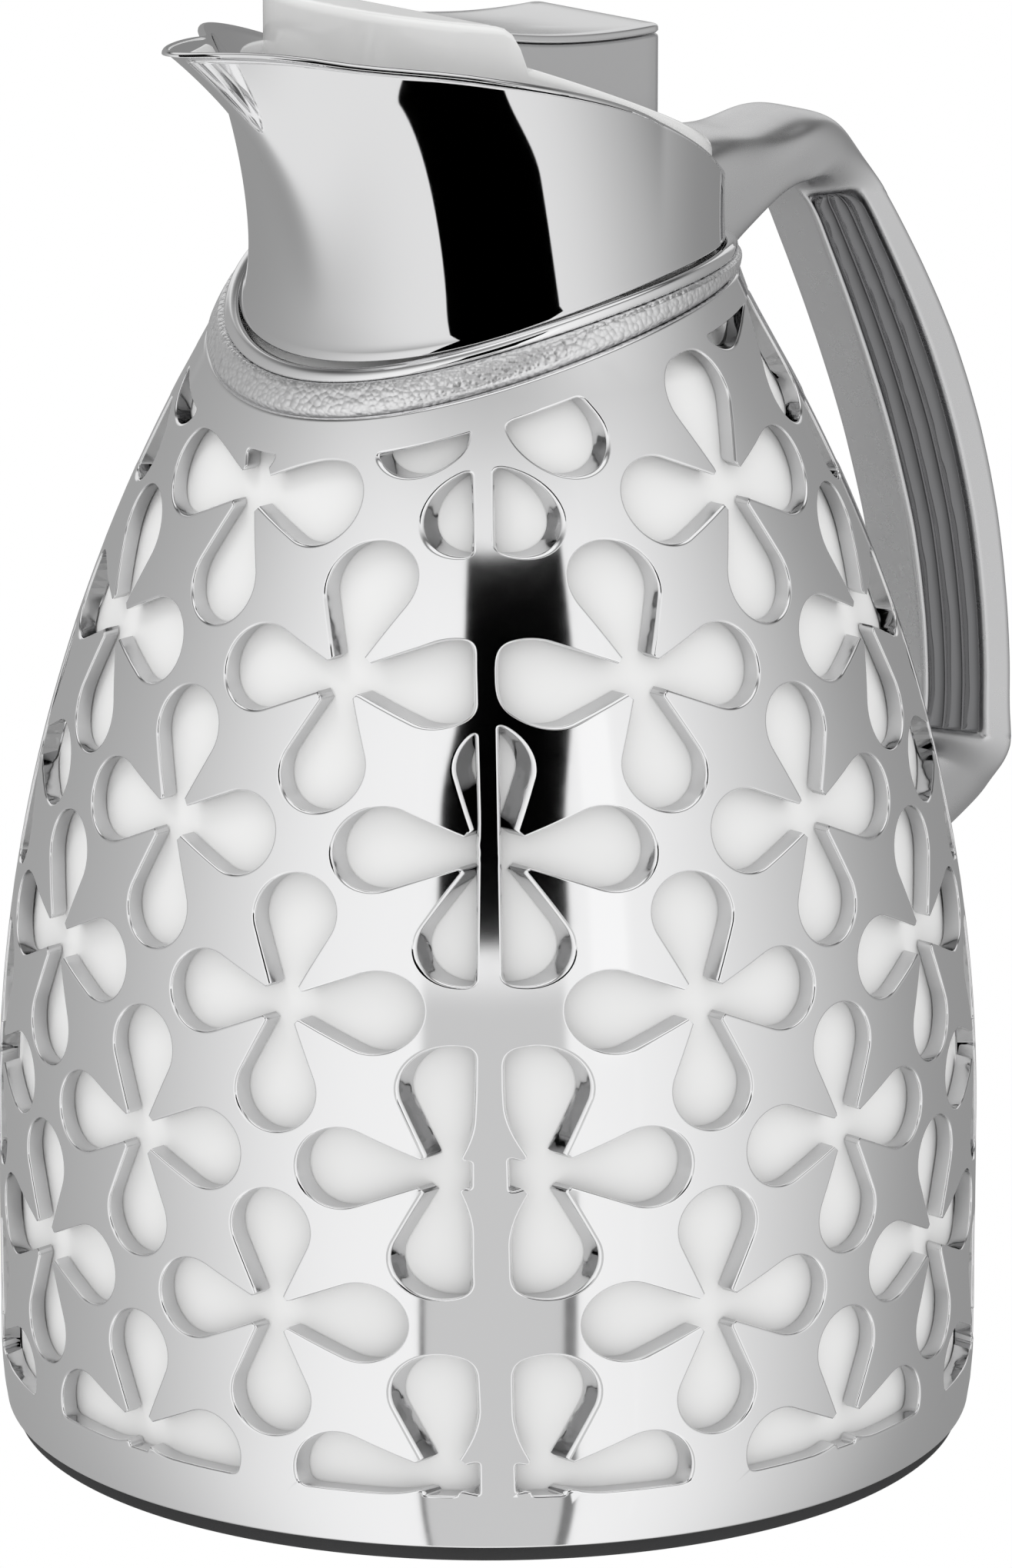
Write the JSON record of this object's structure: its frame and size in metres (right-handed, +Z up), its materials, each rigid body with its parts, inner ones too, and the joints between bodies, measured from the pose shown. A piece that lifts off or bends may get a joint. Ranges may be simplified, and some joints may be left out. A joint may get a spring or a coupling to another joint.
{
  "type": "vacuum jug",
  "caption": "Insulated serving jug with an openwork casing over a glass liner, beaked collar, closed handle and press-lever stopper.",
  "frame": {"origin": "centre of the circle the foot stands on, on the jug's upright axis", "axes": "+Z up, the spout points along -X, the handle along +X, and the plane Y = 0 is the mirror plane"},
  "size_m": [0.1967, 0.16, 0.2395],
  "materials": {
    "chrome": "mirror chrome plating on moulded ABS",
    "satin_chrome": "satin chrome plating",
    "dark_chrome": "gloss chrome plating, ribbed",
    "pebbled_silver": "pebbled silver",
    "white_gloss": "glossy white polypropylene",
    "black_rubber": "matt black non-slip ring",
    "grey_plastic": "moulded base cover",
    "silicone": "translucent white silicone",
    "silvered_glass": "silvered glass",
    "steel": "stainless steel"
  },
  "bodies": {
    "jug": {"outer_casing": "chrome", "inner_casing": "white_gloss", "foot_ring": "black_rubber", "base_cover": "grey_plastic", "base_screws": "steel", "liner_cushion": "black_rubber", "liner_outer": "silvered_glass", "liner_inner": "silvered_glass", "neck_gasket": "silicone", "throat_insert": "white_gloss", "neck_band": "pebbled_silver", "collar": "chrome", "handle_shell": "satin_chrome", "handle_inner": "satin_chrome", "grip_left": "dark_chrome", "grip_right": "dark_chrome", "handle_screws": "steel"},
    "seal": {"stopper_gasket": "silicone"},
    "stopper": {"stopper_plug": "white_gloss", "stopper_cap": "white_gloss", "lever_pin": "steel", "return_spring": "steel"},
    "lever": {"lever_body": "satin_chrome", "lever_plate": "chrome"},
    "valve": {"valve_rod": "steel", "valve_disc": "white_gloss", "valve_seal": "silicone", "rod_head": "white_gloss"}
  },
  "joints": [
    {"name": "stopper_lift", "type": "slide", "parent": "jug", "child": "seal", "axis": [0, 0, 1], "range_m": [0, 0.07]},
    {"name": "stopper_turn", "type": "hinge", "parent": "seal", "child": "stopper", "pos_m": [0, 0, 0.19], "axis": [0, 0, 1], "range_deg": [0, 180]},
    {"name": "lever_press", "type": "hinge", "parent": "stopper", "child": "lever", "pos_m": [-0.0125, 0, 0.224], "axis": [0, 1, 0], "range_deg": [0, 10.5], "stiffness_Nm_per_rad": 0.08, "springref_deg": -22.92},
    {"name": "valve_slide", "type": "slide", "parent": "stopper", "child": "valve", "axis": [0, 0, -1], "range_m": [0, 0.0024], "deforming": ["return_spring"]}
  ],
  "couplings": [
    {"joint": "valve_slide", "follows": "lever_press", "m_per_rad": 0.0129}
  ]
}
